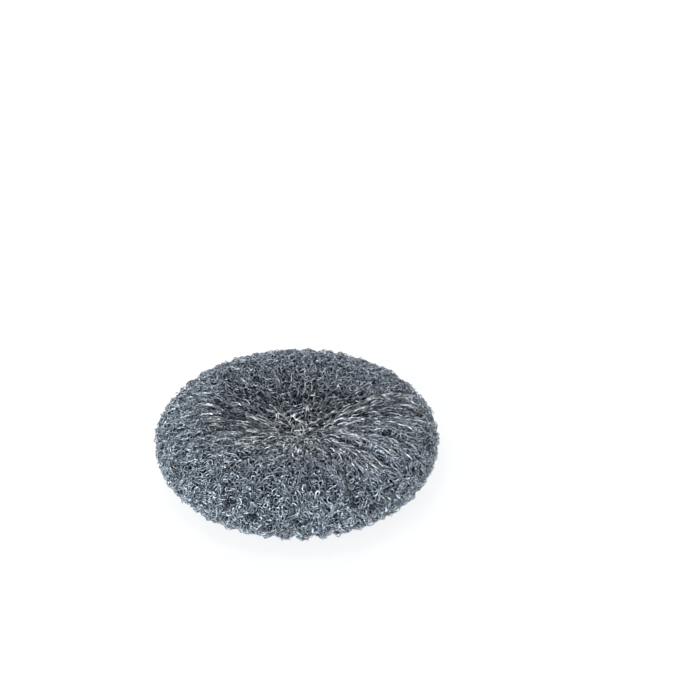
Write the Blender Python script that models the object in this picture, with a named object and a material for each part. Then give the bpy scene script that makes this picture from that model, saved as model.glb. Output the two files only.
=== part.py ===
"""A galvanised wire scourer: one knitted sleeve rolled into a bun and drawn in at both centres.

Metres, +Z up. The origin is on the table, under the middle of the bun.
"""

from collections import namedtuple
from math import atan2, cos, pi, radians, sin, tau

import bmesh
import bpy
import numpy as np
from mathutils import Vector

# Outer form of the bun
PAD_DIAMETER = 0.100
PAD_HEIGHT = 0.028
RIM_HEIGHT = 0.016
CROWN_DIAMETER = 0.064
TOP_DIMPLE_DEPTH = 0.005
GATHER_SHIFT_X = 0.0021
GATHER_SHIFT_Y = -0.0024
FOOT_OUTER_DIAMETER = 0.050
FOOT_INNER_DIAMETER = 0.038
BASE_DIMPLE_DEPTH = 0.0045
EYE_DIAMETER = 0.0056
EYE_DEPTH = 0.0012
SHOULDER_POWER = 1.95
DIMPLE_POWER = 1.0

# Folds that the knit falls into where the sleeve is drawn in. Shares are of the width of one fold.
FOLD_COUNT = 42
TOP_FOLD_DEPTH = 0.0007
RIM_FOLD_DEPTH = 0.0013
FOOT_FOLD_DEPTH = 0.0022
FOLD_DEPTH_SHARE = 0.42
FOLD_SWAY = 0.17
FOLD_UNEVENNESS = 0.05
FLOOR_SHARE = 0.56
FLOOR_UNEVENNESS = 0.4
FLOOR_CLOSES_DIAMETER = 0.030
SEED = 11

# Knit gaps that open between swaying folds. Shares are of the curve above and below the rim.
GAP_BAND_ABOVE_RIM = 0.40
GAP_BAND_BELOW_RIM = 0.60
GAP_LIP = 0.0004
GAP_LIP_DROP = 0.0003
GAP_TAPER = 0.0003
GAP_DEPTH = 0.0016

# Rows and columns of faces
DIMPLE_ROWS = 10
SHOULDER_ROWS = 4
BAND_ROWS_ABOVE_RIM = 5
BAND_ROWS_BELOW_RIM = 7
ANKLE_ROWS = 3
BASE_DIMPLE_ROWS = 4
COLUMNS_PER_FOLD = 3
CURVE_STEPS = 90

# Anything lower than this lies on the table, and edges sharper than this are shaded crisp
FLAT = 1e-7
CRISP_ANGLE = radians(50)

Row = namedtuple("Row", "radius height lean fold_depth drawn")


def quarter_bun(inner, height):
    """Radii and rises of a quarter superellipse, from the flat at the inner radius out to the rim."""
    power = 2 / SHOULDER_POWER
    turn = np.linspace(0, pi / 2, CURVE_STEPS)
    radius = inner + (PAD_DIAMETER / 2 - inner) * np.sin(turn) ** power
    rise = height * np.cos(turn).clip(0) ** power
    return radius, rise


def dimple(mouth, depth):
    """Radii and drops of a dimple with a rounded lip, from the eye out to its mouth."""
    radius = np.linspace(EYE_DIAMETER / 2, mouth, CURVE_STEPS)
    return radius, depth * (1 - np.sin(pi / 2 * radius / mouth) ** (2 * DIMPLE_POWER))


def section():
    """The bun's section from the upper eye to the lower eye, and how far along it each corner lies."""
    dimple_radius, dimple_drop = dimple(CROWN_DIAMETER / 2, TOP_DIMPLE_DEPTH)
    upper_radius, upper_rise = quarter_bun(CROWN_DIAMETER / 2, PAD_HEIGHT - RIM_HEIGHT)
    lower_radius, lower_drop = quarter_bun(FOOT_OUTER_DIAMETER / 2, RIM_HEIGHT)
    base_radius, base_rise = dimple(FOOT_INNER_DIAMETER / 2, BASE_DIMPLE_DEPTH)
    radius = [dimple_radius, upper_radius[1:], lower_radius[-2::-1], base_radius[::-1]]
    height = [
        PAD_HEIGHT - dimple_drop,
        RIM_HEIGHT + upper_rise[1:],
        RIM_HEIGHT - lower_drop[-2::-1],
        base_rise[::-1],
    ]
    line = np.stack([np.concatenate(radius), np.concatenate(height)], axis=1)
    walked = np.concatenate([[0], np.cumsum(np.hypot(*np.diff(line, axis=0).T))])
    ends = np.cumsum([len(part) for part in radius]) - 1
    return line, walked, walked[ends]


def section_rows():
    """Rows of the bun from the upper eye to the lower one.

    Lean is 1 or -1 where the folds lean one way or the other, and 0 where they are straight.
    Drawn is 1 at the upper eye and fades to 0 at the crown.
    """
    line, walked, (crown_at, rim_at, foot_at, end) = section()
    foot_width = (FOOT_OUTER_DIAMETER - FOOT_INNER_DIAMETER) / 2
    band_at = rim_at - GAP_BAND_ABOVE_RIM * (rim_at - crown_at)
    band_end = rim_at + GAP_BAND_BELOW_RIM * (foot_at - rim_at)
    stretches = [
        (0, crown_at, DIMPLE_ROWS),
        (crown_at, band_at, SHOULDER_ROWS),
        (band_at, rim_at, BAND_ROWS_ABOVE_RIM),
        (rim_at, band_end, BAND_ROWS_BELOW_RIM),
        (band_end, foot_at, ANKLE_ROWS),
        (foot_at, foot_at + foot_width, 1),
        (foot_at + foot_width, end, BASE_DIMPLE_ROWS),
    ]
    places = [np.linspace(*stretch, endpoint=False) for stretch in stretches]
    places = np.concatenate(places + [[end]])
    in_band = np.arange(1, BAND_ROWS_ABOVE_RIM + BAND_ROWS_BELOW_RIM)
    leans = np.zeros(len(places))
    leans[in_band + DIMPLE_ROWS + SHOULDER_ROWS] = np.cos(pi * in_band / 2)
    radii, heights = (np.interp(places, walked, line[:, axis]) for axis in (0, 1))
    depths = [TOP_FOLD_DEPTH, RIM_FOLD_DEPTH, FOOT_FOLD_DEPTH]
    fold_depths = np.interp(places, [crown_at, rim_at, foot_at], depths)
    drawn = np.interp(places, [0, crown_at], [1, 0])
    return [Row(*values) for values in zip(radii, heights, leans, fold_depths, drawn)]


def row_normal(rows, i):
    """Outward normal of the section at a row, as (radial, upward)."""
    before, after = rows[max(i - 1, 0)], rows[min(i + 1, len(rows) - 1)]
    along = Vector((after.radius - before.radius, after.height - before.height))
    return Vector((-along.y, along.x)).normalized()


def fold_places():
    """Each fold's place round the bun, in folds, and the depth of the floor after it, about 1."""
    rng = np.random.default_rng(SEED)
    places = np.arange(FOLD_COUNT) + rng.uniform(-FOLD_UNEVENNESS, FOLD_UNEVENNESS, FOLD_COUNT)
    return places, 1 + rng.uniform(-FLOOR_UNEVENNESS, FLOOR_UNEVENNESS, FOLD_COUNT)


def crest_turns(places, lean):
    """Angles of the crests at a row. Neighbouring folds lean opposite ways, so gaps open and close."""
    side = np.where(np.arange(FOLD_COUNT) % 2 == 0, 1, -1)
    crests = (places + side * lean * FOLD_SWAY) * tau / FOLD_COUNT
    return crests, np.append(crests[1:], crests[0] + tau)


def revolve(bm, rows):
    """Spins the section into the plain bun and returns its vertices as grid[row][column]."""
    row_of = bm.verts.layers.int.new("row")
    line = [bm.verts.new((row.radius, 0, row.height)) for row in rows]
    edges = [bm.edges.new(pair) for pair in zip(line, line[1:])]
    for i, vert in enumerate(line):
        vert[row_of] = i
    columns = FOLD_COUNT * COLUMNS_PER_FOLD
    bmesh.ops.spin(
        bm,
        geom=line + edges,
        axis=(0, 0, 1),
        cent=(0, 0, 0),
        angle=tau,
        steps=columns,
        use_merge=True,
    )
    grid = [[None] * columns for _ in rows]
    for vert in bm.verts:
        column = round(atan2(vert.co.y, vert.co.x) / tau * columns) % columns
        grid[vert[row_of]][column] = vert
    return grid


def fold_surface(grid, rows, places, depths):
    """Moves each row's vertices so that crests stay on the section and floors sink between them."""
    for i, row in enumerate(rows):
        normal = row_normal(rows, i)
        deepest = 0 if row.height < FLAT else FOLD_DEPTH_SHARE * tau * row.radius / FOLD_COUNT
        axis = Vector((GATHER_SHIFT_X, GATHER_SHIFT_Y, 0)) * row.drawn
        for fold, (crest, following) in enumerate(zip(*crest_turns(places, row.lean))):
            depth = min(row.fold_depth * depths[fold], deepest)
            middle = (crest + following) / 2
            half_floor = FLOOR_SHARE / 2 * (following - crest)
            corners = [(crest, 0), (middle - half_floor, depth), (middle + half_floor, depth)]
            for offset, (turn, sunk) in enumerate(corners):
                out = row.radius - normal.x * sunk
                up = row.height - normal.y * sunk
                vert = grid[i][fold * COLUMNS_PER_FOLD + offset]
                vert.co = axis + Vector((out * cos(turn), out * sin(turn), up))


def close_floors(bm, grid, rows):
    """Near the centres the folds crowd together, so each floor narrows to a single line."""
    joined = {}
    for i, row in enumerate(rows):
        if row.radius > FLOOR_CLOSES_DIAMETER / 2:
            continue
        for fold in range(FOLD_COUNT):
            left, right = (grid[i][fold * COLUMNS_PER_FOLD + offset] for offset in (1, 2))
            left.co = (left.co + right.co) / 2
            joined[right] = left
    bmesh.ops.weld_verts(bm, targetmap=joined)


def floor_faces(grid, row, fold):
    """The two floor faces of a gap, above and below its row."""
    left, right = (grid[row][fold * COLUMNS_PER_FOLD + offset] for offset in (1, 2))
    return [face for face in left.link_faces if right in face.verts]


def open_gaps(bm, grid, rows):
    """Sinks a lipped, tapered gap wherever two neighbouring folds lean apart."""
    floors = []
    for i, row in enumerate(rows):
        if abs(row.lean) > 0.5:
            apart = range(0 if row.lean < 0 else 1, FOLD_COUNT, 2)
            floors += [face for fold in apart for face in floor_faces(grid, i, fold)]
    for width, drop in ((GAP_LIP, GAP_LIP_DROP), (GAP_TAPER, GAP_DEPTH)):
        bmesh.ops.inset_region(bm, faces=floors, thickness=width, depth=-drop, use_even_offset=True)


def close_eyes(bm):
    """Caps each drawn-in centre with a shallow funnel."""
    rims = [edge for edge in bm.edges if edge.is_boundary]
    caps = bmesh.ops.holes_fill(bm, edges=rims, sides=0)["faces"]
    bmesh.ops.recalc_face_normals(bm, faces=bm.faces)
    bmesh.ops.poke(bm, faces=caps, offset=-EYE_DEPTH)


def galvanised_steel():
    """Bright zinc over steel wire, dulled by its own shadows."""
    material = bpy.data.materials.new("galvanised_steel")
    material.use_nodes = True
    shader = material.node_tree.nodes["Principled BSDF"]
    shader.inputs["Base Color"].default_value = (0.40, 0.43, 0.47, 1)
    shader.inputs["Metallic"].default_value = 0.9
    shader.inputs["Roughness"].default_value = 0.38
    return material


def knitted_bun():
    """The whole scourer as one solid."""
    rows = section_rows()
    bm = bmesh.new()
    grid = revolve(bm, rows)
    fold_surface(grid, rows, *fold_places())
    open_gaps(bm, grid, rows)
    close_floors(bm, grid, rows)
    close_eyes(bm)
    mesh = bpy.data.meshes.new("knitted_bun")
    bm.to_mesh(mesh)
    bm.free()
    mesh.shade_smooth()
    mesh.set_sharp_from_angle(angle=CRISP_ANGLE)
    mesh.materials.append(galvanised_steel())
    bun = bpy.data.objects.new("knitted_bun", mesh)
    bpy.context.scene.collection.objects.link(bun)
    return bun


def main():
    for old in list(bpy.data.objects):
        bpy.data.objects.remove(old)
    knitted_bun()


main()
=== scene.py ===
# %% [markdown]
# # A galvanised wire scourer
#
# The real thing is one sleeve of knitted zinc-coated wire, rolled up into a bun and drawn in at the centre of
# its top and of its underside. The frame below holds its outer form as one solid. This lesson dresses that
# form in real knitting: every loop of wire is modelled, in three plies over a dark core. The outer ply is the
# surface that one sees. The two under it and the core stand for the rest of the roll.

from math import cos, pi, radians, sin, tau

import bmesh
import bpy
import numpy as np
from mathutils import Matrix, Vector


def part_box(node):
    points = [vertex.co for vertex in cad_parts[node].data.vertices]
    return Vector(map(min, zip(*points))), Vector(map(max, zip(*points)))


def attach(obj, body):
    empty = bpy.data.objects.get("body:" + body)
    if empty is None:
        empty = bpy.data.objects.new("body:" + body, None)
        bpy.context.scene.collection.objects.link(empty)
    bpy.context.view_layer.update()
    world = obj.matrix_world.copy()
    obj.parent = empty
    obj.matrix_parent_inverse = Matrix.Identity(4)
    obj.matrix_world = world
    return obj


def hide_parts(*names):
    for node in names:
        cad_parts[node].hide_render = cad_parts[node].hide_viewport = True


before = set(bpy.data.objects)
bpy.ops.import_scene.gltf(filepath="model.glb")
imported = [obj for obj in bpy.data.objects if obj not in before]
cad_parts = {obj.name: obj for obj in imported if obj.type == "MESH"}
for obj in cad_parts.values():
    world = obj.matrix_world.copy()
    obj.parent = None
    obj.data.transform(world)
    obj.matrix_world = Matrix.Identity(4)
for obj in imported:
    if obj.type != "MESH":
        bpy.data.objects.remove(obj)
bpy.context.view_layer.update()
NODE = "knitted_bun"
low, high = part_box(NODE)
RADIUS = (high.x - low.x) / 2
HEIGHT = high.z
print("The bun is", round(RADIUS * 2000, 1), "mm across and", round(HEIGHT * 1000, 1), "mm high")

# %% [markdown]
# ## The section of the bun
#
# A round thing is best described by its section: one line from the upper centre, over the crown and round the
# rim, to the lower centre. Everything that follows is placed by how far along this line it lies. The line is
# built from the same few sizes as the solid: two quarter superellipses, a flat foot and two dimples.

# %% The sizes of the section
RIM_HEIGHT = 0.016
CROWN_RADIUS = 0.032
DIMPLE_DEPTH = 0.0050
DIMPLE_POWER = 1.0
FOOT_OUTER_RADIUS = 0.025
FOOT_INNER_RADIUS = 0.019
BASE_DIMPLE_DEPTH = 0.0045
SHOULDER_POWER = 1.95
EYE_RADIUS = 0.0009
CURVE_STEPS = 90


def quarter_bun(inner, height):
    """Radii and rises of a quarter superellipse, from the flat at the inner radius out to the rim."""
    power = 2 / SHOULDER_POWER
    turn = np.linspace(0, pi / 2, CURVE_STEPS)
    radius = inner + (RADIUS - inner) * np.sin(turn) ** power
    return radius, height * np.cos(turn).clip(0) ** power


def dimple(mouth, depth):
    """Radii and drops of a dimple with a rounded lip, from the eye out to its mouth."""
    radius = np.linspace(EYE_RADIUS, mouth, CURVE_STEPS)
    return radius, depth * (1 - np.sin(pi / 2 * radius / mouth) ** (2 * DIMPLE_POWER))


top_dimple = dimple(CROWN_RADIUS, DIMPLE_DEPTH)
shoulder = quarter_bun(CROWN_RADIUS, HEIGHT - RIM_HEIGHT)
ankle = quarter_bun(FOOT_OUTER_RADIUS, RIM_HEIGHT)
base_dimple = dimple(FOOT_INNER_RADIUS, BASE_DIMPLE_DEPTH)
stretches = [
    (top_dimple[0], HEIGHT - top_dimple[1]),
    (shoulder[0][1:], RIM_HEIGHT + shoulder[1][1:]),
    (ankle[0][-2::-1], RIM_HEIGHT - ankle[1][-2::-1]),
    (base_dimple[0][::-1], base_dimple[1][::-1]),
]
section = np.concatenate([np.stack(stretch, axis=1) for stretch in stretches])
walked = np.concatenate([[0], np.cumsum(np.hypot(*np.diff(section, axis=0).T))])
crown_at, rim_at, foot_at, section_end = walked[np.cumsum([len(stretch[0]) for stretch in stretches]) - 1]
slope = np.gradient(section, walked, axis=0)
outward = np.stack([-slope[:, 1], slope[:, 0]], axis=1)
print("The section is", round(section_end * 1000, 1), "mm long, with its rim at", round(rim_at * 1000, 1))


def along_section(values, at):
    """A value that is known at the section's points, read at any distances along it."""
    return np.interp(at, walked, values)


# %% [markdown]
# ## The folds
#
# Where the sleeve is drawn in, the knit has to fall into folds, and they run on round the side. The solid has
# them too, and this step reads the place of each crest from its widest vertices, so that the wire folds where
# the solid does. Neighbouring crests lean apart and together in turn, which opens a net of dark gaps. The
# gaps are uneven, and those in front gape most.

# %% Read the crests from the solid
SAME_RADIUS = 1e-5
TOP_FOLD_DEPTH = 0.0004
RIM_FOLD_DEPTH = 0.0006
FOOT_FOLD_DEPTH = 0.0026
FOLD_DEPTH_SHARE = 0.4
FOLD_SWAY = 0.10
GAP_DEPTH = 0.0052
GAPING_TURN = -95
GAPING_WIDTH = 45
GAPE_ELSEWHERE = 0.25
GAPE_IN_FRONT = 0.85
WIDEST_GAP = 1.4
USUAL_GAP = 0.45
UNEVEN_GAP = 0.6
GAP_SEED = 3
GAP_WAVES = (12, (5, 30), 90)
GATHER_SHIFT = (0.0021, -0.0024)
BAND_ABOVE_RIM = 0.40
BAND_BELOW_RIM = 0.60
ROWS_ABOVE_RIM = 2.5
ROWS_BELOW_RIM = 3.5

corners = np.array([v.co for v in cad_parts[NODE].data.vertices])
widest = corners[np.hypot(corners[:, 0], corners[:, 1]) > RADIUS - SAME_RADIUS]
crests = np.unique(np.round(np.arctan2(widest[:, 1], widest[:, 0]), 4))
FOLDS = len(crests)
crests = np.append(crests, crests[0] + tau)
print("The solid has", FOLDS, "folds")

# %% [markdown]
# ## Creases, hollows and combed knit
#
# Gathering and handling leave marks that aren't the same all round. A few long creases run out over the top,
# each given by its turn in degrees and its depth. Two broad hollows, given by their middle, depth and width,
# are where the bun was pressed. To the right of the gather, and less to the left, the loops are combed out
# straight, given by turn, width and share. A soft bump for each is enough, because the knit covers its edges.

# %% The marks of handling
CREASES = [
    (-1, 0.0016),
    (-21, 0.0019),
    (-41, 0.0022),
    (-63, 0.0019),
    (24, 0.0010),
    (-118, 0.0011),
    (-160, 0.0013),
]
CREASE_WIDTH = 0.0018
CREASE_RUN = [0.015, 0.024, 0.040, 0.048]
HOLLOWS = [(-0.012, 0.004, 0.0014, 0.014), (-0.014, -0.0095, 0.0010, 0.004)]
COMBED_RIGHT = (-30, 40, 1.0)
COMBED_LEFT = (-180, 28, 0.5)
COMBED_RUN = [0.008, 0.016, 0.040, 0.047]
print("The top has", len(CREASES), "creases and", len(HOLLOWS), "hollows")

# %% [markdown]
# ## Where a point of the knit lies
#
# Each point is given by its fold, its distance along the section and how far it is sunk. One function turns
# these three into a place in space, so that every ply and every loose wire follows the same folds.

# %% Place a point of the knit
band_at = rim_at - BAND_ABOVE_RIM * (rim_at - crown_at)
band_end = rim_at + BAND_BELOW_RIM * (foot_at - rim_at)
rows_in_band = ROWS_ABOVE_RIM + ROWS_BELOW_RIM


def lean_of_folds(at):
    """How far the crests lean: it swings between -1 and 1 down the side, and is 0 above and below it."""
    row = np.interp(at, [band_at, rim_at, band_end], [0, ROWS_ABOVE_RIM, rows_in_band])
    inside = np.clip(2 * row, 0, 1) * np.clip(2 * (rows_in_band - row), 0, 1)
    return np.cos(pi * row) * inside


def slow_warp(rng, folds, at, waves, rounds, pace):
    """A smooth, seamless wander over the bun, about 1 either way, made of a few crossing waves."""
    wander = np.zeros(np.broadcast(folds, at).shape)
    for _ in range(waves):
        whole_rounds = rng.integers(rounds[0], rounds[1])
        across = rng.uniform(-1, 1) * pace
        wander += np.cos(tau * (whole_rounds * folds / FOLDS + across * at) + rng.uniform(0, tau))
    return wander / np.sqrt(waves / 2)


def openness(fold, at):
    """How far each gap is open: some gape, others have closed up, and those in front are the widest."""
    wander = slow_warp(np.random.default_rng(GAP_SEED), fold, at, *GAP_WAVES)
    uneven = np.clip(USUAL_GAP + UNEVEN_GAP * wander, 0, WIDEST_GAP)
    off_front = (360 * fold / FOLDS - 180 - GAPING_TURN + 180) % 360 - 180
    return uneven * (GAPE_ELSEWHERE + GAPE_IN_FRONT * np.exp(-((off_front / GAPING_WIDTH) ** 2)))


def crease_depth(turn, radius, at):
    """Depth of the few long creases that run out over the top from the gather."""
    run = np.interp(at, CREASE_RUN, [0, 1, 1, 0])
    depth = 0
    for crease, deep in CREASES:
        off = radius * np.abs((turn - radians(crease) + pi) % tau - pi)
        depth = depth + deep * np.exp(-((off / CREASE_WIDTH) ** 2)) * run
    return depth


def hollow_depth(turn, radius):
    """Depth of the broad hollows that the bun has been pressed into."""
    x, y = radius * np.cos(turn), radius * np.sin(turn)
    depth = 0
    for at_x, at_y, deep, wide in HOLLOWS:
        depth = depth + deep * np.exp(-((x - at_x) ** 2 + (y - at_y) ** 2) / wide**2)
    return depth


def place(fold, at, sunk):
    """Points of the knit, from their place round the bun in folds, along the section, and under it."""
    radius = along_section(section[:, 0], at)
    lean = lean_of_folds(at)
    valley = 0.5 - 0.5 * np.cos(tau * fold)
    deepest = np.interp(at, [crown_at, rim_at, foot_at], [TOP_FOLD_DEPTH, RIM_FOLD_DEPTH, FOOT_FOLD_DEPTH])
    deepest = np.minimum(deepest, FOLD_DEPTH_SHARE * tau * radius / FOLDS)
    gap = np.clip(-lean * np.sin(pi * fold), 0, 1) ** 2 * openness(fold, at)
    sway = np.cos(pi * fold) * lean * FOLD_SWAY
    turn = np.interp((fold + sway) % FOLDS, np.arange(FOLDS + 1), crests)
    depth = sunk + valley * (deepest + GAP_DEPTH * gap) + crease_depth(turn, radius, at)
    depth = depth + hollow_depth(turn, radius) * (at < rim_at)
    out = radius - along_section(outward[:, 0], at) * depth
    up = along_section(section[:, 1], at) - along_section(outward[:, 1], at) * depth
    drawn = np.clip(1 - at / crown_at, 0, 1)
    shift = [amount * drawn for amount in GATHER_SHIFT]
    return np.stack([out * np.cos(turn) + shift[0], out * np.sin(turn) + shift[1], up], axis=-1)


# %% [markdown]
# ## The knit
#
# Knitted fabric is rows of loops, each pulled through the row before. Seen flat, one row of wire is a snake
# that leans back over itself at each turn: along the row it goes forward with a wobble of twice the pace, and
# across the row it swings once a loop. That is one line of sines. On a scourer the wire has also been crushed,
# so every loop is pushed about by a slow warp and by its own small error. The rows lie close and the loops
# are wide, which gives a curly surface. Narrow loops in rows far apart would look like fur.

# %% How far apart rows and loops lie
stops = [0, 0.012, 0.026, rim_at, foot_at, section_end]
ROW_SPACING = [0.0020, 0.0017, 0.0015, 0.0013, 0.0016, 0.0024]
LOOP_WIDTH = [0.0044, 0.0034, 0.0025, 0.0022, 0.0022, 0.0020]
MESS = [2.4, 1.8, 1.2, 0.9, 1.2, 1.2]
FEWEST_LOOPS = 7


def rows_of_ply(scale, start):
    """Each row's place along the section, its height and its number of loops."""
    rows, at = [], start
    while at < section_end:
        pitch = scale * np.interp(at, stops, ROW_SPACING)
        middle = min(at + pitch / 2, section_end)
        around = tau * along_section(section[:, 0], middle)
        loops = max(round(around / (scale * np.interp(middle, stops, LOOP_WIDTH))), FEWEST_LOOPS)
        rows.append((middle, pitch, loops))
        at += pitch
    return rows


# %% One row of loops
LIFT = 0.00034
WIRE_RADIUS = 0.00017
PULLED_RADIUS = 0.00017
ASIDE = 0.0003
PULLED_SHARE = 0.04
COMBED_SHARE = 0.35
PULL = 2.2
OVERRUN = 0.22
SWING = 0.95
COMBED_SWING = 1.1
COMBED_CALM = 0.5
SWING_ERROR = 0.22
ACROSS_ERROR = 0.20
LIFT_ERROR = 0.9
PULLED_LIFT = 0.8


def combed(fold, at):
    """How far the knit is drawn out straight there: most to the right of the gather, and nowhere at the rim."""
    turn = 360 * fold / FOLDS - 180
    run = np.interp(at, COMBED_RUN, [0, 1, 1, 0])
    share = 0
    for facing, wide, most in (COMBED_RIGHT, COMBED_LEFT):
        off = (turn - facing + 180) % 360 - 180
        share = share + most * np.exp(-((off / wide) ** 2))
    return share * run


def own_errors(rng, loops, steps, each=1):
    """Errors along a row, so many for each loop, and eased from one to the next."""
    errors = rng.normal(size=loops * each)
    here = np.arange(loops * steps) / steps * each
    return np.interp(here, np.arange(loops * each + 1), np.append(errors, errors[0]))


def pulled_loops(rng, loops, steps, at):
    """0 on most loops, and up to 1 on those that have been pulled out long."""
    share = PULLED_SHARE + COMBED_SHARE * combed(np.arange(loops) * FOLDS / loops, at)
    pulls = rng.uniform(size=loops) * (rng.uniform(size=loops) < share)
    here = np.arange(loops * steps) / steps
    return np.interp(here, np.arange(loops + 1), np.append(pulls, pulls[0]))


def row_of_loops(rng, loops, steps, at, pitch, sunk, mess):
    """The wire of one row: a closed line of points with that many loops round the bun."""
    turn = np.arange(loops * steps) / steps
    phase = tau * turn
    fold_width = tau * along_section(section[:, 0], at) / FOLDS
    mess = mess * np.interp(at, stops, MESS)
    aside = mess * ASIDE * own_errors(rng, loops, steps, 2)
    pulled = pulled_loops(rng, loops, steps, at)
    straight = combed(turn * FOLDS / loops, at)
    calm = 1 - COMBED_CALM * straight
    fold = (turn + OVERRUN * np.sin(2 * phase)) * FOLDS / loops + aside * calm / fold_width
    uneven = mess * SWING_ERROR * own_errors(rng, loops, steps)
    swing = SWING * (1 + COMBED_SWING * straight) + uneven + PULL * pulled
    uneven = mess * ACROSS_ERROR * own_errors(rng, loops, steps)
    across = at + pitch * (swing * np.cos(phase) + uneven)
    uneven = mess * LIFT_ERROR * own_errors(rng, loops, steps)
    lift = LIFT * (np.cos(2 * phase) + uneven + PULLED_LIFT * pulled)
    return fold, across.clip(0, section_end), sunk - lift


# %% [markdown]
# A row becomes a wire when a section is swept along it. The wire is modelled as a ribbon: a flat triangle that
# twists slowly as it runs and is shaded flat, so that it glints in short dashes, as crushed wire does. A
# round section would shine evenly all along. Blender's curves do the sweep: each row is one spline, and the
# result is turned into a mesh. One curve holds many rows, and a piece stays under 200,000 triangles.

# %% Turn rows of points into wire
RIBBON = [(-1.0, -0.25), (1.0, -0.25), (0.0, 0.5)]
TWIST = 0.8
TWIST_EVERY = 3


def wire_profile(radius):
    """The flat triangle that is swept along each wire."""
    curve = bpy.data.curves.new("wire_profile", "CURVE")
    curve.dimensions = "3D"
    spline = curve.splines.new("POLY")
    spline.points.add(len(RIBBON) - 1)
    for point, (across, thick) in zip(spline.points, RIBBON):
        point.co = (radius * across, radius * thick, 0, 1)
    spline.use_cyclic_u = True
    profile = bpy.data.objects.new("wire_profile", curve)
    bpy.context.scene.collection.objects.link(profile)
    return profile


def wire_piece(name, lines, radius, closed):
    """One mesh of twisting ribbon that follows all the given lines of points."""
    curve = bpy.data.curves.new(name, "CURVE")
    curve.dimensions = "3D"
    profile = wire_profile(radius)
    curve.bevel_mode = "OBJECT"
    curve.bevel_object = profile
    curve.use_fill_caps = not closed
    twister = np.random.default_rng(len(lines))
    for line in lines:
        spline = curve.splines.new("POLY")
        spline.points.add(len(line) - 1)
        spline.points.foreach_set("co", np.column_stack([line, np.ones(len(line))]).ravel())
        spline.use_cyclic_u = closed
        twist = TWIST * twister.normal(size=len(line) // TWIST_EVERY + 2).cumsum()
        here = np.arange(len(line)) / TWIST_EVERY
        spline.points.foreach_set("tilt", np.interp(here, np.arange(len(twist)), twist))
        spline.use_smooth = False
    shaper = bpy.data.objects.new(name + "_shaper", curve)
    bpy.context.scene.collection.objects.link(shaper)
    bpy.context.view_layer.update()
    mesh = bpy.data.meshes.new_from_object(shaper.evaluated_get(bpy.context.evaluated_depsgraph_get()))
    mesh.name = name
    bpy.data.objects.remove(shaper)
    bpy.data.objects.remove(profile)
    piece = bpy.data.objects.new(name, mesh)
    bpy.context.scene.collection.objects.link(piece)
    return piece


def triangles(piece):
    """How many triangles a piece has."""
    return sum(len(face.vertices) - 2 for face in piece.data.polygons)


print("The ribbon is", round(WIRE_RADIUS * 2000, 2), "mm wide")

# %% [markdown]
# ## The plies
#
# The roll is many plies deep. Three are knitted here, each a little deeper, coarser and messier than the one
# over it, and slow warps push whole stretches about, because a crushed bun is never even. The two hidden ones
# have fewer points to a loop. Rows are packed into pieces up to the limit of triangles.

# %% Knit the plies
FLOOR_CLEARANCE = 0.00026
TRIANGLE_LIMIT = 195000
TRIANGLES_PER_POINT = 2 * len(RIBBON)
WARP_ASIDE = 0.0005
WARP_ALONG = 0.0006
WARP_UNDER = 0.00022
ASIDE_WAVES = (10, (4, 40), 120)
ALONG_WAVES = (10, (4, 60), 120)
UNDER_WAVES = (14, (20, 90), 300)


def knit_ply(name, seed, steps, scale, start, sunk, mess, warp):
    """One ply of the sleeve from centre to centre, as a few pieces of wire."""
    rng = np.random.default_rng(seed)
    lines = []
    for at, pitch, loops in rows_of_ply(scale, start):
        fold, along, under = row_of_loops(rng, loops, steps, at, pitch, sunk, mess)
        fold_width = tau * along_section(section[:, 0], at) / FOLDS
        drift = np.random.default_rng(seed + 1)
        fold = fold + warp * WARP_ASIDE * slow_warp(drift, fold, along, *ASIDE_WAVES) / fold_width
        along = along + warp * WARP_ALONG * slow_warp(drift, fold, along, *ALONG_WAVES)
        under = under + warp * WARP_UNDER * slow_warp(drift, fold, along, *UNDER_WAVES)
        points = place(fold, along.clip(0, section_end), under)
        points[:, 2] = points[:, 2].clip(FLOOR_CLEARANCE)
        lines.append(points)
    share, batch = 0, []
    made = []
    for line in lines + [None]:
        faces = 0 if line is None else len(line) * TRIANGLES_PER_POINT
        if line is None or share + faces > TRIANGLE_LIMIT:
            made.append(wire_piece(f"{name}_{len(made) + 1}", batch, WIRE_RADIUS, closed=True))
            share, batch = 0, []
        if line is not None:
            batch.append(line)
            share += faces
    print(name, "has", len(lines), "rows in", len(made), "pieces,", sum(map(triangles, made)), "triangles")
    return made


outer_ply = knit_ply("outer_ply", seed=5, steps=10, scale=0.93, start=0, sunk=0.0004, mess=1.1, warp=1.0)
middle_ply = knit_ply("middle_ply", seed=23, steps=8, scale=1.05, start=0.003, sunk=0.0011, mess=1.2, warp=1.3)
inner_ply = knit_ply("inner_ply", seed=17, steps=6, scale=1.35, start=0.008, sunk=0.0021, mess=1.3, warp=1.5)

# %% [markdown]
# ## Loose ends
#
# Drawing in the sleeve and handling the bun pull some stretches of wire tight and straight. They run out from
# the centre over the top, and a few stand up at the side. Each is one open wire, laid just over the knit. At
# the gather itself short ones cross at every heading.

# %% Lay the pulled wires
STRAY_STEPS = 12
STRAY_LEAN = 0.13
STRAY_BEND = 0.03
STRAY_RISE = (0.0002, 0.0007)
END_RISE = 0.0001
CROSSING_SPREAD = 0.6
CROSSING_RISE = (0.0001, 0.0006)


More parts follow.
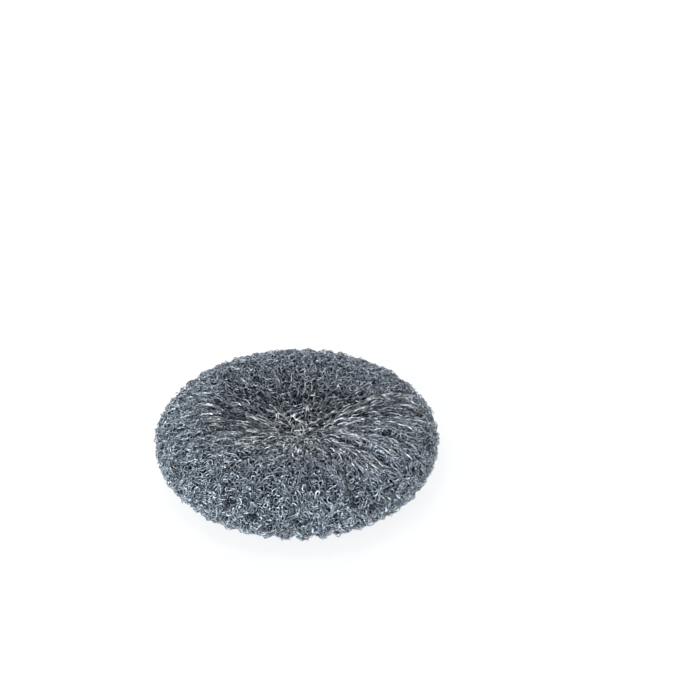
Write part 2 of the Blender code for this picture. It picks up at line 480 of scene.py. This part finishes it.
def stray_wires(name, seed, count, start, end, lengths, turns=(-180, 180)):
    """Single wires that run more or less outward, between two places along the section and two turns."""
    rng = np.random.default_rng(seed)
    lines = []
    way = np.linspace(0, 1, STRAY_STEPS)
    for _ in range(count):
        first = rng.uniform(start, end)
        length = rng.uniform(*lengths)
        along = first + length * way
        fold_width = tau * along_section(section[:, 0], along) / FOLDS
        lean = rng.normal() * STRAY_LEAN * (way - 0.5)
        aside = length * (lean + rng.normal() * STRAY_BEND * np.sin(pi * way))
        fold = FOLDS * (0.5 + rng.uniform(*turns) / 360) + aside / fold_width
        rise = rng.uniform(*STRAY_RISE) * np.sin(pi * way) + END_RISE
        lines.append(place(fold, along, -rise))
    piece = wire_piece(name, lines, PULLED_RADIUS, closed=False)
    print(name, "has", count, "wires and", triangles(piece), "triangles")
    return piece


def crossing_wires(name, seed, count, reach, lengths):
    """Straight single wires at any heading, laid across each other round the gather."""
    rng = np.random.default_rng(seed)
    lines = []
    for _ in range(count):
        turn = rng.uniform(-pi, pi)
        away = reach * rng.uniform() ** CROSSING_SPREAD
        heading = rng.uniform(0, pi)
        half = rng.uniform(*lengths) / 2 * np.linspace(-1, 1, STRAY_STEPS)
        x = away * cos(turn) + half * cos(heading)
        y = away * sin(turn) + half * sin(heading)
        fold = FOLDS * (0.5 + np.arctan2(y, x) / tau)
        rise = rng.uniform(*CROSSING_RISE)
        lines.append(place(fold, np.hypot(x, y), -rise))
    piece = wire_piece(name, lines, PULLED_RADIUS, closed=False)
    print(name, "has", count, "wires and", triangles(piece), "triangles")
    return piece


gather_strays = crossing_wires("gather_strays", 61, 80, 0.010, (0.002, 0.0045))
top_strays = stray_wires("top_strays", 41, 70, 0.003, 0.026, (0.002, 0.006))
right_strays = stray_wires("right_strays", 47, 120, 0.008, 0.040, (0.003, 0.008), (-75, 14))
left_strays = stray_wires("left_strays", 53, 40, 0.010, 0.030, (0.002, 0.006), (160, 205))
front_strays = stray_wires("front_strays", 59, 55, 0.008, 0.022, (0.003, 0.006), (200, 285))
side_strays = stray_wires("side_strays", 43, 60, rim_at - 0.008, rim_at + 0.012, (0.003, 0.008))

# %% [markdown]
# ## The core
#
# Under three plies the eye only meets shade, so the rest of the roll is one dark solid of the same form, about
# four millimetres in. It is spun from the section line. Some wire of every ply runs into it: most is of the
# inner ply and low down, and of the outer ply it is only in front.

# %% Spin the core
CORE_DEPTH = 0.0042
CORE_ROWS = 40
CORE_COLUMNS = 144
CORE_END = 0.002
CORE_EYE = 0.0006


def spin_core():
    """The section line, moved inward and spun round the bun's axis into a closed solid."""
    bm = bmesh.new()
    rungs = np.linspace(CORE_END, section_end - CORE_END, CORE_ROWS)
    out = along_section(section[:, 0], rungs) - along_section(outward[:, 0], rungs) * CORE_DEPTH
    rise = along_section(section[:, 1], rungs) - along_section(outward[:, 1], rungs) * CORE_DEPTH
    line = [bm.verts.new((x, 0, z)) for x, z in zip(out.clip(CORE_EYE), rise)]
    edges = [bm.edges.new(pair) for pair in zip(line, line[1:])]
    bmesh.ops.spin(
        bm, geom=line + edges, axis=(0, 0, 1), cent=(0, 0, 0), angle=tau, steps=CORE_COLUMNS, use_merge=True
    )
    bmesh.ops.holes_fill(bm, edges=[edge for edge in bm.edges if edge.is_boundary], sides=0)
    bmesh.ops.recalc_face_normals(bm, faces=bm.faces)
    mesh = bpy.data.meshes.new("core")
    bm.to_mesh(mesh)
    bm.free()
    mesh.shade_smooth()
    core = bpy.data.objects.new("core", mesh)
    bpy.context.scene.collection.objects.link(core)
    return core


core = spin_core()
print("The core has", triangles(core), "triangles")

# %% [markdown]
# ## Zinc
#
# Galvanised wire is steel with a skin of zinc: a pale blue-grey metal that dulls unevenly. One node group
# makes that unevenness from fine noise along the wire, and adds painted shade on a few broad patches, each
# a soft sphere given by its middle, radius and share. The wire and the core use the group with their own
# values, and painted shade makes them darker further in, because a real bun has many more plies than three
# to keep the light out.

# %% The zinc group
DULL_ROUGHNESS = 0.64
BRIGHT_ROUGHNESS = 0.54
ALL_DULL = 0.35
ALL_BRIGHT = 0.65
# Painted shade: the dark grey that the zinc is darkened towards on the few shade patches over the top.
PAINTED_SHADE_COLOUR = (0.02, 0.02, 0.02, 1)
RELIEF_SCALE = 5000
# Painted shade patches over the top, each a soft sphere given by its middle, radius and share of darkening.
PAINTED_SHADE_PATCHES = [
    ((-0.018, 0.014, 0.026), 0.019, 0.30),
    ((-0.024, -0.001, 0.026), 0.017, 0.45),
    ((0.026, 0.002, 0.026), 0.026, 0.48),
    ((0.000, 0.000, 0.026), 0.048, 0.28),
    ((0.010, -0.017, 0.026), 0.007, 0.35),
    ((0.001, -0.001, 0.023), 0.016, 0.38),
]


def painted_shade_patches(nodes, links, place_on, strength):
    """0 on most of the bun, and up to a share on the few patches where painted shade darkens the zinc."""
    most = None
    for middle_of, radius, share in PAINTED_SHADE_PATCHES:
        away = nodes.new("ShaderNodeVectorMath")
        away.operation = "DISTANCE"
        away.inputs[1].default_value = middle_of
        links.new(place_on, away.inputs[0])
        fade = nodes.new("ShaderNodeMapRange")
        fade.interpolation_type = "SMOOTHSTEP"
        fade.inputs["From Max"].default_value = radius
        fade.inputs["To Min"].default_value = share
        fade.inputs["To Max"].default_value = 0
        links.new(away.outputs["Value"], fade.inputs["Value"])
        if most is None:
            most = fade.outputs["Result"]
        else:
            either = nodes.new("ShaderNodeMath")
            either.operation = "MAXIMUM"
            links.new(most, either.inputs[0])
            links.new(fade.outputs["Result"], either.inputs[1])
            most = either.outputs["Value"]
    scaled = nodes.new("ShaderNodeMath")
    scaled.operation = "MULTIPLY"
    links.new(most, scaled.inputs[0])
    links.new(strength, scaled.inputs[1])
    return scaled.outputs["Value"]


def zinc_group():
    """Uneven zinc: a mask between dull and bright, painted shade on patches, a roughness and a fine relief."""
    group = bpy.data.node_groups.new("zinc_dulling_and_painted_shade", "ShaderNodeTree")
    sockets = group.interface
    sockets.new_socket("Scale", in_out="INPUT", socket_type="NodeSocketFloat")
    sockets.new_socket("Painted Shade", in_out="INPUT", socket_type="NodeSocketFloat")
    sockets.new_socket("Dull", in_out="INPUT", socket_type="NodeSocketColor")
    sockets.new_socket("Bright", in_out="INPUT", socket_type="NodeSocketColor")
    sockets.new_socket("Color", in_out="OUTPUT", socket_type="NodeSocketColor")
    sockets.new_socket("Roughness", in_out="OUTPUT", socket_type="NodeSocketFloat")
    sockets.new_socket("Height", in_out="OUTPUT", socket_type="NodeSocketFloat")
    nodes, links = group.nodes, group.links
    given = nodes.new("NodeGroupInput")
    result = nodes.new("NodeGroupOutput")
    place_on = nodes.new("ShaderNodeTexCoord")
    patches = nodes.new("ShaderNodeTexNoise")
    patches.inputs["Detail"].default_value = 4
    spread = nodes.new("ShaderNodeMapRange")
    spread.inputs["From Min"].default_value = ALL_DULL
    spread.inputs["From Max"].default_value = ALL_BRIGHT
    colour = nodes.new("ShaderNodeMix")
    colour.data_type = "RGBA"
    rough = nodes.new("ShaderNodeMapRange")
    rough.inputs["To Min"].default_value = DULL_ROUGHNESS
    rough.inputs["To Max"].default_value = BRIGHT_ROUGHNESS
    relief = nodes.new("ShaderNodeTexNoise")
    relief.inputs["Scale"].default_value = RELIEF_SCALE
    links.new(place_on.outputs["Object"], patches.inputs["Vector"])
    links.new(place_on.outputs["Object"], relief.inputs["Vector"])
    links.new(given.outputs["Scale"], patches.inputs["Scale"])
    links.new(patches.outputs["Fac"], spread.inputs["Value"])
    links.new(spread.outputs["Result"], colour.inputs["Factor"])
    links.new(given.outputs["Dull"], colour.inputs["A"])
    links.new(given.outputs["Bright"], colour.inputs["B"])
    links.new(spread.outputs["Result"], rough.inputs["Value"])
    # Painted shade: the zinc colour is mixed towards dark grey on the shade patches.
    painted_shade_mix = nodes.new("ShaderNodeMix")
    painted_shade_mix.data_type = "RGBA"
    painted_shade_mix.inputs["B"].default_value = PAINTED_SHADE_COLOUR
    painted_shade_share = painted_shade_patches(nodes, links, place_on.outputs["Object"], given.outputs["Painted Shade"])
    links.new(painted_shade_share, painted_shade_mix.inputs["Factor"])
    links.new(colour.outputs["Result"], painted_shade_mix.inputs["A"])
    links.new(painted_shade_mix.outputs["Result"], result.inputs["Color"])
    links.new(rough.outputs["Result"], result.inputs["Roughness"])
    links.new(relief.outputs["Fac"], result.inputs["Height"])
    return group


zinc = zinc_group()
print("The zinc group has", len(zinc.nodes), "nodes")

# %% The materials
RELIEF_STRENGTH = 0.08
WIRE_RELIEF = 0.00003
CORE_RELIEF = 0.0006


def zinc_material(name, dull, bright, scale, relief, patches=1):
    """A material of dulled zinc with its own colours, patch size, relief and share of painted shade."""
    material = bpy.data.materials.new(name)
    material.use_nodes = True
    nodes, links = material.node_tree.nodes, material.node_tree.links
    shader = nodes["Principled BSDF"]
    shader.inputs["Metallic"].default_value = 1
    dulling_and_shade = nodes.new("ShaderNodeGroup")
    dulling_and_shade.node_tree = zinc
    dulling_and_shade.inputs["Scale"].default_value = scale
    dulling_and_shade.inputs["Painted Shade"].default_value = patches
    dulling_and_shade.inputs["Dull"].default_value = (*dull, 1)
    dulling_and_shade.inputs["Bright"].default_value = (*bright, 1)
    bump = nodes.new("ShaderNodeBump")
    bump.inputs["Strength"].default_value = RELIEF_STRENGTH
    bump.inputs["Distance"].default_value = relief
    links.new(dulling_and_shade.outputs["Color"], shader.inputs["Base Color"])
    links.new(dulling_and_shade.outputs["Roughness"], shader.inputs["Roughness"])
    links.new(dulling_and_shade.outputs["Height"], bump.inputs["Height"])
    links.new(bump.outputs["Normal"], shader.inputs["Normal"])
    return material


WIRE_DULL = (0.11, 0.125, 0.145)
WIRE_BRIGHT = (0.58, 0.625, 0.67)
wire_zinc = zinc_material("wire_zinc", WIRE_DULL, WIRE_BRIGHT, 1200, WIRE_RELIEF)
# The pulled wires take only 0.3 of the painted shade on the patches.
pulled_zinc = zinc_material("pulled_zinc", (0.16, 0.165, 0.17), (0.95, 0.95, 0.94), 500, WIRE_RELIEF, 0.3)
# Painted shade: the middle and inner plies and the core are given darker colours than the outer wire, for the
# shade of the plies over them.
shaded_middle_zinc = zinc_material("shaded_middle_zinc", (0.045, 0.052, 0.062), (0.27, 0.295, 0.325), 1200, WIRE_RELIEF)
shaded_inner_zinc = zinc_material("shaded_inner_zinc", (0.02, 0.023, 0.027), (0.12, 0.13, 0.145), 1200, WIRE_RELIEF)
shaded_core_zinc = zinc_material("shaded_core_zinc", (0.008, 0.009, 0.011), (0.03, 0.034, 0.04), 500, CORE_RELIEF)

# %% Give each piece its material and its place in the frame
pieces = []
for group_of, material in (
    (outer_ply, wire_zinc),
    (middle_ply, shaded_middle_zinc),
    (inner_ply, shaded_inner_zinc),
    ([gather_strays, top_strays, right_strays, left_strays, front_strays], pulled_zinc),
    ([side_strays], wire_zinc),
    ([core], shaded_core_zinc),
):
    for piece in group_of:
        piece.data.materials.clear()
        piece.data.materials.append(material)
        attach(piece, "root")
        pieces.append(piece)
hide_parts(NODE)
print("All pieces have", sum(map(triangles, pieces)), "triangles")

# %% [markdown]
# ## Floor, light and camera
#
# The bun lies on a pale floor in studio light. Rays from the camera and reflections meet a glowing floor and a
# world that is bright at the horizon and dark overhead, so the background is white and the metal mirrors it.
# That is part of the light on the wire. All other rays meet a weaker, even world. A nearly overhead key lamp
# lights the top, low ones at the sides and back brighten the rim, and soft ones in front fill the side wall.
# Thin wire glints hard under small lamps, so the low ones at the sides and in front are wide.

# %% Floor
FLOOR_GLOW = 0.8
FLOOR_HALF = 3
FLOOR_GREY = 0.88
FLOOR_ROUGHNESS = 0.9


def white_to_the_eye(nodes, links):
    """1 on rays from the camera, by way of gloss or through glass, and 0 on the rest."""
    rays = nodes.new("ShaderNodeLightPath")
    either = nodes.new("ShaderNodeMath")
    either.operation = "MAXIMUM"
    links.new(rays.outputs["Is Camera Ray"], either.inputs[0])
    links.new(rays.outputs["Is Glossy Ray"], either.inputs[1])
    any_of = nodes.new("ShaderNodeMath")
    any_of.operation = "MAXIMUM"
    links.new(either.outputs["Value"], any_of.inputs[0])
    links.new(rays.outputs["Is Transmission Ray"], any_of.inputs[1])
    return any_of.outputs["Value"]


def floor():
    """A pale floor that keeps the shadow but looks nearly white to the camera."""
    bm = bmesh.new()
    bmesh.ops.create_grid(bm, x_segments=1, y_segments=1, size=FLOOR_HALF)
    mesh = bpy.data.meshes.new("floor")
    bm.to_mesh(mesh)
    bm.free()
    made = bpy.data.objects.new("floor", mesh)
    bpy.context.scene.collection.objects.link(made)
    material = bpy.data.materials.new("pale_floor")
    material.use_nodes = True
    nodes, links = material.node_tree.nodes, material.node_tree.links
    paper = nodes["Principled BSDF"]
    paper.inputs["Base Color"].default_value = (FLOOR_GREY, FLOOR_GREY, FLOOR_GREY, 1)
    paper.inputs["Roughness"].default_value = FLOOR_ROUGHNESS
    glow = nodes.new("ShaderNodeEmission")
    blend = nodes.new("ShaderNodeMixShader")
    share = nodes.new("ShaderNodeMath")
    share.operation = "MULTIPLY"
    share.inputs[1].default_value = FLOOR_GLOW
    links.new(white_to_the_eye(nodes, links), share.inputs[0])
    links.new(share.outputs["Value"], blend.inputs["Fac"])
    links.new(paper.outputs["BSDF"], blend.inputs[1])
    links.new(glow.outputs["Emission"], blend.inputs[2])
    links.new(blend.outputs["Shader"], nodes["Material Output"].inputs["Surface"])
    mesh.materials.append(material)


floor()
print("The floor is", 2 * FLOOR_HALF, "m wide")

# %% World
AMBIENT = 0.42
HORIZON = 1.12
OVERHEAD = 0.06
HORIZON_RISE = 0.1
OVERHEAD_RISE = 0.8

world = bpy.data.worlds.new("studio")
bpy.context.scene.world = world
world.use_nodes = True
nodes, links = world.node_tree.nodes, world.node_tree.links
ambient = nodes["Background"]
ambient.inputs["Color"].default_value = (1, 1, 1, 1)
direction = nodes.new("ShaderNodeTexCoord")
rise = nodes.new("ShaderNodeSeparateXYZ")
dimming = nodes.new("ShaderNodeMapRange")
dimming.inputs["From Min"].default_value = HORIZON_RISE
dimming.inputs["From Max"].default_value = OVERHEAD_RISE
dimming.inputs["To Min"].default_value = HORIZON
dimming.inputs["To Max"].default_value = OVERHEAD
seen = nodes.new("ShaderNodeMix")
seen.inputs["A"].default_value = AMBIENT
links.new(direction.outputs["Generated"], rise.inputs["Vector"])
links.new(rise.outputs["Z"], dimming.inputs["Value"])
links.new(white_to_the_eye(nodes, links), seen.inputs["Factor"])
links.new(dimming.outputs["Result"], seen.inputs["B"])
links.new(seen.outputs["Result"], ambient.inputs["Strength"])
print("The world lights the object at", AMBIENT)

# %% Lamps
COOL = (0.80, 0.91, 1.0)
NEUTRAL = (1.0, 0.98, 0.96)


def softbox(name, place_at, aim, size, power, colour):
    """A square lamp that faces the bun."""
    light = bpy.data.lights.new(name, "AREA")
    light.color = colour
    light.shape = "SQUARE"
    light.size = size
    light.energy = power
    lamp = bpy.data.objects.new(name, light)
    bpy.context.scene.collection.objects.link(lamp)
    lamp.location = place_at
    lamp.rotation_euler = (Vector(aim) - Vector(place_at)).to_track_quat("-Z", "Y").to_euler()


middle = (0, 0, HEIGHT / 2)
LAMPS = [
    ("key", (-0.08, -0.2, 0.72), 0.15, 1.25, NEUTRAL),
    ("back", (0.0, 0.8, 0.22), 0.3, 4.5, COOL),
    ("back_left", (-0.6, 0.5, 0.5), 0.08, 1.2, NEUTRAL),
    ("back_right", (0.6, 0.5, 0.5), 0.08, 1.2, NEUTRAL),
    ("left", (-0.8, 0.1, 0.06), 0.8, 3.2, COOL),
    ("right", (0.8, 0.1, 0.06), 0.8, 1.6, COOL),
    ("front_top", (-0.1, -0.65, 0.5), 0.5, 1.5, COOL),
    ("front", (-0.2, -0.8, 0.10), 0.95, 20, COOL),
]
for name, place_at, size, power, colour in LAMPS:
    softbox(name, place_at, middle, size, power, colour)
print("Lamps:", len(LAMPS))

# %% Camera
FRAME_PIXELS = 700
SENSOR = 36
CAMERA_DISTANCE = 0.8
CAMERA_TILT = radians(33.7)
CAMERA_ROLL = radians(0.2)
FOCAL_PIXELS = 2267
BUN_PIXEL = (296.9, 441.5)
AIM_HEIGHT = 0.015

forward = Vector((0, cos(CAMERA_TILT), -sin(CAMERA_TILT)))
level_up = Vector((0, sin(CAMERA_TILT), cos(CAMERA_TILT)))
right = Vector((cos(CAMERA_ROLL), 0, 0)) + level_up * sin(CAMERA_ROLL)
up = right.cross(forward)
aside = (BUN_PIXEL[0] - FRAME_PIXELS / 2) / FOCAL_PIXELS * CAMERA_DISTANCE
above = (FRAME_PIXELS / 2 - BUN_PIXEL[1]) / FOCAL_PIXELS * CAMERA_DISTANCE
spot = Vector((0, 0, AIM_HEIGHT)) - forward * CAMERA_DISTANCE - right * aside - up * above
lens = bpy.data.cameras.new("camera")
lens.sensor_width = SENSOR
lens.lens = FOCAL_PIXELS / FRAME_PIXELS * SENSOR
lens.clip_start = 0.01
camera = bpy.data.objects.new("camera", lens)
bpy.context.scene.collection.objects.link(camera)
turned = Matrix((right, up, -forward)).transposed()
camera.matrix_world = Matrix.Translation(spot) @ turned.to_4x4()
bpy.context.scene.camera = camera
bpy.context.scene.view_settings.view_transform = "Standard"
print("The camera stands at", tuple(round(x, 3) for x in spot))
